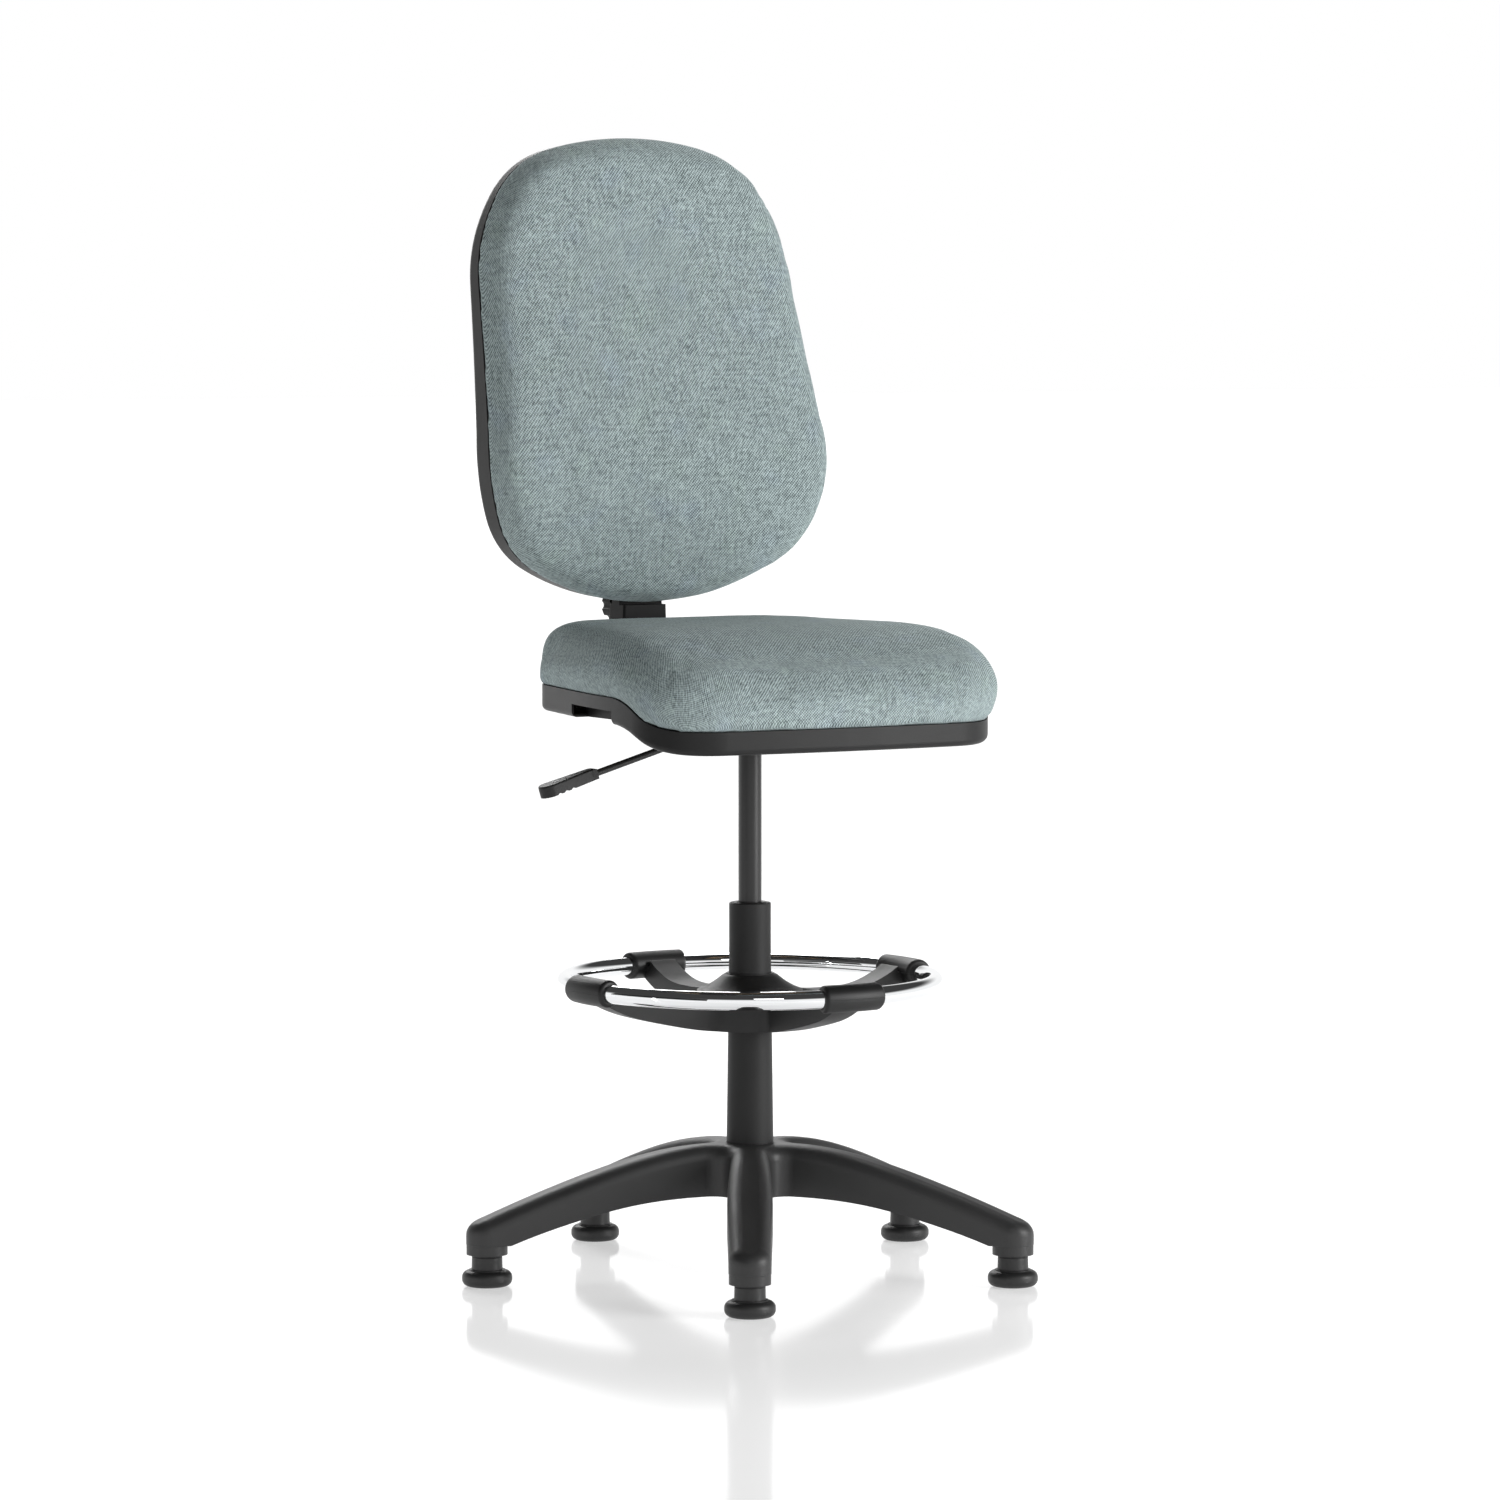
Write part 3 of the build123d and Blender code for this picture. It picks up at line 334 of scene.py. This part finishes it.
by_slot = {
    "shell_plastic": shell_plastic,
    "black_plastic": part_plastic,
    "base_nylon": base_nylon,
    "glide_nylon": glide_nylon,
    "black_steel": bar_paint,
    "bright_steel": bright_steel,
    "chrome": chrome,
    "rubber": rubber,
    "plywood": plywood,
    "fabric": fabric,
}
by_node = {
    "column_tube": column_paint,
    "gas_cylinder": cylinder_paint,
    # The bar cover and knob get the darker copy of the part plastic, which is painted shade
    "bar_cover": shade_darkened_plastic,
    "knob_body": shade_darkened_plastic,
}
for entry in frame["record"]["subparts"]:
    piece = nodes[entry["node"]]
    piece.data.materials.clear()
    piece.data.materials.append(by_node.get(entry["node"], by_slot[entry["material_slot"]]))


# ---------------------------------------------------------------- cushions


def positions(mesh):
    co = np.empty(len(mesh.vertices) * 3, np.float32)
    mesh.vertices.foreach_get("co", co)
    return co.reshape(-1, 3).astype(float)


def normals(mesh):
    out = np.empty(len(mesh.vertices) * 3, np.float32)
    mesh.vertex_normals.foreach_get("vector", out)
    return out.reshape(-1, 3).astype(float)


def evaluated(piece):
    """The piece's mesh with its modifiers applied, as a new mesh."""
    graph = bpy.context.evaluated_depsgraph_get()
    return bpy.data.meshes.new_from_object(piece.evaluated_get(graph), depsgraph=graph)


def apply_modifiers(piece):
    mesh = evaluated(piece)
    piece.modifiers.clear()
    piece.vertex_groups.clear()
    piece.data = mesh


class Lie:
    """How a cushion lies: the axis and sense of its depth, from seam to crown, and the axis of its run."""

    def __init__(self, depth_axis, depth_sign, run_axis):
        self.depth_axis = depth_axis
        self.depth_sign = depth_sign
        self.run_axis = run_axis

    def depth(self, rows):
        return rows[:, self.depth_axis] * self.depth_sign

    def run(self, rows):
        return rows[:, self.run_axis]


def put_positions(mesh, co):
    mesh.vertices.foreach_set("co", co.astype(np.float32).ravel())
    mesh.update()


def seam_line(mesh, lie):
    """The level of the cushion's flat underside along its run, as two lists: places and levels."""
    bin_count = 40
    co, facing = positions(mesh), normals(mesh)
    under = lie.depth(facing) < -0.8
    run, depth = lie.run(co)[under], lie.depth(co)[under]
    bins = np.linspace(run.min(), run.max(), bin_count + 1)
    which = np.clip(np.digitize(run, bins) - 1, 0, bin_count - 1)
    filled = [k for k in range(bin_count) if (which == k).any()]
    levels = np.array([depth[which == k].min() for k in filled])
    levels[1:-1] = (levels[:-2] + levels[1:-1] * 2 + levels[2:]) / 4
    return (bins[:-1] + bins[1:])[filled] / 2, levels


def weighted_group(piece, name, weights):
    """A vertex group with the weights, rounded to twentieths."""
    group = piece.vertex_groups.new(name=name)
    steps = np.round(weights * 20).astype(int)
    for step in range(1, 21):
        members = np.nonzero(steps == step)[0]
        if len(members):
            group.add([int(i) for i in members], step / 20, "REPLACE")


def spread(mesh, values, rounds):
    """The values, one row per vertex, averaged with their neighbours' that many times."""
    pairs = np.empty(len(mesh.edges) * 2, np.int32)
    mesh.edges.foreach_get("vertices", pairs)
    a, b = pairs[0::2], pairs[1::2]
    count = np.bincount(a, minlength=len(values)) + np.bincount(b, minlength=len(values)) + 1.0
    for _ in range(rounds):
        total = values.copy()
        for axis in range(values.shape[1]):
            total[:, axis] += np.bincount(a, values[b, axis], len(values))
            total[:, axis] += np.bincount(b, values[a, axis], len(values))
        values = total / count[:, None]
    return values


def lay_cloth(piece, lie, face_level):
    """Writes the cloth's own coordinates into the mesh: flat over the crown, carried on down the sides.
    face_level is a polynomial of the crown's level along the run, which the cloth falls away from."""
    co = positions(piece.data)
    facing = spread(piece.data, normals(piece.data), 90)
    level = np.polyval(face_level, lie.run(co))
    drop = np.clip(level - lie.depth(co), 0, None)
    plane = facing[:, [0, lie.run_axis]]
    length = np.linalg.norm(plane, axis=1)
    tilt = lie.depth(facing) / np.maximum(np.linalg.norm(facing, axis=1), 1e-6)
    share = np.clip((0.985 - tilt) / 0.35, 0, 1)
    share = share * share * (3 - 2 * share)
    values = np.zeros((len(co), 3), np.float32)
    down = plane / np.maximum(length, 1e-6)[:, None]
    values[:, :2] = co[:, [0, lie.run_axis]] + down * (share * drop)[:, None]
    values = spread(piece.data, values.astype(float), 12).astype(np.float32)
    attribute = piece.data.attributes.new("cloth_place", "FLOAT_VECTOR", "POINT")
    attribute.data.foreach_set("vector", values.ravel())


def swell(piece, lie, stand_of, push, cap):
    """Air pressure under the cover, simulated from a held seam. No point moves further than cap, and the crown
    keeps most of its level."""
    before = positions(piece.data)
    weighted_group(piece, "held", (stand_of(before) < SEAM_HELD).astype(float))
    cloth = piece.modifiers.new("cloth", "CLOTH")
    settings = cloth.settings
    settings.quality = 4
    settings.mass = 0.3
    settings.vertex_group_mass = "held"
    settings.pin_stiffness = 1.0
    settings.use_pressure = True
    settings.uniform_pressure_force = push
    settings.tension_stiffness = 15
    settings.compression_stiffness = 15
    settings.shear_stiffness = 5
    settings.bending_stiffness = 3
    settings.effector_weights.gravity = 0
    cloth.point_cache.frame_start = 1
    cloth.point_cache.frame_end = SWELL_FRAMES
    for step in range(1, SWELL_FRAMES + 1):
        scene.frame_set(step)
    apply_modifiers(piece)
    scene.frame_set(1)
    moved = positions(piece.data) - before
    moved[:, lie.depth_axis] *= 0.1
    far = np.linalg.norm(moved, axis=1, keepdims=True)
    shrink = np.minimum(1.0, cap * np.tanh(far / cap) / np.maximum(far, 1e-9))
    put_positions(piece.data, before + moved * shrink)


def hold_to_skin(piece, stand_of, skin):
    """Draws the cushion's foot back to the CAD cushion's own surface, so that it closes on the shell."""
    co = positions(piece.data)
    held = np.clip(1 - (stand_of(co) - 0.004) / 0.014, 0, 1)
    pull = np.zeros_like(co)
    for k in np.nonzero(held)[0]:
        pull[k] = (np.array(skin.find_nearest(Vector(co[k]))[0]) - co[k]) * held[k]
    put_positions(piece.data, co + spread(piece.data, pull, 4))


def crown_line(piece, lie, span):
    """The crown's level along the middle of the cushion, as a polynomial of the place along its run. Without a
    span of the run to fit, it is the crown's highest level."""
    co = positions(piece.data)
    middle = co[np.abs(co[:, 0]) < 0.05]
    if span is None:
        return [lie.depth(middle).max()]
    places = np.arange(*span, 0.02)
    heights = [lie.depth(middle)[np.abs(lie.run(middle) - place) < 0.012].max() for place in places]
    return np.polyfit(places, heights, 4)


def fill_sides(piece, lie, stand_of, bulge, seam_tuck):
    """Moves the sides out by bulge at half their height, and draws the cloth in at the seam by seam_tuck."""
    co = positions(piece.data)
    stand, run = stand_of(co), lie.run(co)
    outward = spread(piece.data, normals(piece.data), 6)
    outward[:, lie.depth_axis] = 0
    arch = np.sin(np.pi * np.clip(stand / SIDE_HEIGHT, 0, 1))
    fullness = np.interp(run, [run.min(), run.max()], bulge) * arch
    near_seam = np.exp(-np.clip(stand, 0, None) / SEAM_TUCK_REACH)
    co += outward * fullness[:, None]
    co -= outward * (seam_tuck * near_seam)[:, None]
    put_positions(piece.data, co)


def pad(node, name, lie, rounding, push, cap, seam_tuck, bulge=(0.0, 0.0), crown_span=None):
    """A foam cushion in a fitted cover: the CAD cushion rounded over its edges, swelled from a held seam, then
    closed on its shell. bulge is for the low and the high end of the run."""
    mesh = nodes[node].data.copy()
    piece = bpy.data.objects.new(name, mesh)
    scene.collection.objects.link(piece)
    welded = bmesh.new()
    welded.from_mesh(mesh)
    bmesh.ops.remove_doubles(welded, verts=welded.verts, dist=1e-5)
    welded.to_mesh(mesh)
    skin = BVHTree.FromBMesh(welded)
    welded.free()
    remesh = piece.modifiers.new("remesh", "REMESH")
    remesh.mode = "VOXEL"
    remesh.voxel_size = VOXEL
    apply_modifiers(piece)

    places, levels = seam_line(piece.data, lie)

    def stand_of(co):
        """How far each row stands from the seam's level."""
        return lie.depth(co) - np.interp(lie.run(co), places, levels)

    weighted_group(piece, "free", np.clip((stand_of(positions(piece.data)) - 0.003) / 0.030, 0.06, 1.0))
    smooth = piece.modifiers.new("smooth", "SMOOTH")
    smooth.factor = 0.5
    smooth.iterations = rounding
    smooth.vertex_group = "free"
    apply_modifiers(piece)
    swell(piece, lie, stand_of, push, cap)

    settle = piece.modifiers.new("settle", "SMOOTH")
    settle.factor = 0.5
    settle.iterations = 5
    finer = piece.modifiers.new("finer", "SUBSURF")
    finer.levels = finer.render_levels = 1
    apply_modifiers(piece)

    hold_to_skin(piece, stand_of, skin)
    lay_cloth(piece, lie, crown_line(piece, lie, crown_span))
    fill_sides(piece, lie, stand_of, bulge, seam_tuck)
    for polygon in piece.data.polygons:
        polygon.use_smooth = True
    piece.data.update()
    piece.data.materials.clear()
    piece.data.materials.append(fabric)
    return piece


seat_pad = pad(
    "seat_cushion",
    "seat_pad",
    Lie(depth_axis=2, depth_sign=1, run_axis=1),
    rounding=110,
    push=4.0,
    cap=0.012,
    seam_tuck=0.0025,
    bulge=(0.012, 0.004),
)
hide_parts("seat_cushion")
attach(seat_pad, "lift")

back_pad = pad(
    "back_cushion",
    "back_pad",
    Lie(depth_axis=1, depth_sign=-1, run_axis=2),
    rounding=70,
    push=3.0,
    cap=0.009,
    seam_tuck=0.002,
    crown_span=(0.86, 1.33),
)
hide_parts("back_cushion")
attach(back_pad, "back")


# ---------------------------------------------------------------- print on the lever


def lever_print():
    """A plain up and down arrow, as a thin raised print on the paddle's sloping top."""
    along = Vector((-math.cos(PADDLE_SLOPE), 0.0, -math.sin(PADDLE_SLOPE)))
    across = Vector((0.0, -1.0, 0.0))
    up = Vector((-math.sin(PADDLE_SLOPE), 0.0, math.cos(PADDLE_SLOPE)))
    print_low, print_high = PADDLE_HALF + 0.00002, PADDLE_HALF + 0.00018
    shape = bmesh.new()
    for centre, way in ((0.034, 1), (0.050, -1)):
        outline = [
            (-0.0045, -0.0022),
            (-0.0045, 0.0022),
            (0.0005, 0.0022),
            (0.0005, 0.0050),
            (0.0060, 0.0),
            (0.0005, -0.0050),
            (0.0005, -0.0022),
        ]
        places = [PADDLE_ROOT + along * (centre + x * way) + across * y for x, y in outline]
        low = [shape.verts.new(place + up * print_low) for place in places]
        high = [shape.verts.new(place + up * print_high) for place in places]
        shape.faces.new(low)
        shape.faces.new(high)
        for k in range(len(outline)):
            shape.faces.new((low[k - 1], low[k], high[k], high[k - 1]))
    bmesh.ops.recalc_face_normals(shape, faces=shape.faces)
    mesh = bpy.data.meshes.new("lever_print")
    shape.to_mesh(mesh)
    shape.free()
    material, tree, shader = new_material("pale_print")
    worn = noise(tree, object_place(tree), 900.0, 2.0)
    link(tree, mix(tree, remap(tree, worn, 0.35, 0.65), grey(0.42), grey(0.62)), shader.inputs["Base Color"])
    link(tree, remap(tree, worn, 0.3, 0.7, 0.45, 0.65), shader.inputs["Roughness"])
    mesh.materials.append(material)
    piece = bpy.data.objects.new("lever_print", mesh)
    scene.collection.objects.link(piece)
    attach(piece, "lever")


lever_print()

# ---------------------------------------------------------------- stage, light and camera


def stage_sheet(name, corners, location, material):
    """A flat four-cornered sheet that belongs to the stage."""
    mesh = bpy.data.meshes.new(name)
    mesh.from_pydata(corners, [], [(0, 1, 2, 3)])
    mesh.materials.append(material)
    sheet = bpy.data.objects.new(name, mesh)
    sheet.location = location
    scene.collection.objects.link(sheet)
    return sheet


def felt_material():
    """Black wool felt, as on a studio flag."""
    material, tree, shader = new_material("black_felt")
    felt = noise(tree, object_place(tree), 400.0, 2.0)
    link(tree, mix(tree, felt, grey(0.004), grey(0.012)), shader.inputs["Base Color"])
    link(tree, remap(tree, felt, 0.3, 0.7, 0.9, 1.0), shader.inputs["Roughness"])
    return material


floor_corners = [(x * FLOOR_HALF, y * FLOOR_HALF, 0) for x, y in ((-1, -1), (1, -1), (1, 1), (-1, 1))]
stage_sheet("floor", floor_corners, (0, 0, -FLOOR_DROP), floor_material())

# A black card beyond the chair's right side, outside the picture, shades that side
flag_corners = [(0, -1.1, 0.55), (0, 0.7, 0.55), (0, 0.7, 1.0), (0, -1.1, 1.0)]
flag = stage_sheet("flag", flag_corners, (-1.5, 0, 0), felt_material())
flag.visible_camera = False

world = bpy.data.worlds.new("studio")
scene.world = world
world.use_nodes = True
tree = world.node_tree
direction = tree.nodes.new("ShaderNodeTexCoord").outputs["Generated"]
split = tree.nodes.new("ShaderNodeSeparateXYZ")
link(tree, direction, split.inputs[0])
sky = tree.nodes.new("ShaderNodeValToRGB")
sky.color_ramp.interpolation = "EASE"
horizon, zenith = sky.color_ramp.elements
horizon.position, horizon.color = 0.20, (1, 1, 1, 1)
zenith.position, zenith.color = 0.46, (0.05, 0.05, 0.05, 1)
link(tree, split.outputs[2], sky.inputs[0])
link(tree, sky.outputs[0], tree.nodes["Background"].inputs["Color"])
tree.nodes["Background"].inputs["Strength"].default_value = 1.0


def soft_box(name, place, aim, size, power):
    """A large rectangular lamp at place, turned towards aim."""
    lamp = bpy.data.lights.new(name, "AREA")
    lamp.shape = "RECTANGLE"
    lamp.size, lamp.size_y = size
    lamp.energy = power
    holder = bpy.data.objects.new(name, lamp)
    holder.location = place
    holder.rotation_euler = (Vector(aim) - Vector(place)).to_track_quat("-Z", "Y").to_euler()
    scene.collection.objects.link(holder)


soft_box("key", (2.6, -3.2, 1.5), (0, 0, 0.8), (2.0, 2.0), 118)
soft_box("rim", (1.0, 4.2, 2.6), (0, 0, 0.5), (3.0, 1.0), 60)
soft_box("strip", (-3.4, -0.2, 1.0), (0, 0, 0.8), (0.12, 1.8), 4)
soft_box("front", (-1.2, -3.6, 2.4), (0, 0, 0.2), (1.2, 0.8), 10)
soft_box("overhead", (0.9, 1.5, 3.1), (0, 0, 0.1), (1.6, 1.2), 30)

camera_data = bpy.data.cameras.new("camera")
camera_data.lens = 150
camera_data.sensor_width = 36
camera_data.clip_end = 200
camera = bpy.data.objects.new("camera", camera_data)
camera.location = (
    -CAMERA_DISTANCE * math.sin(CAMERA_TURN),
    -CAMERA_DISTANCE * math.cos(CAMERA_TURN),
    CAMERA_HEIGHT,
)
camera.rotation_euler = (CAMERA_TILT, 0, -CAMERA_TURN)
scene.collection.objects.link(camera)
scene.camera = camera
scene.view_settings.view_transform = "Standard"
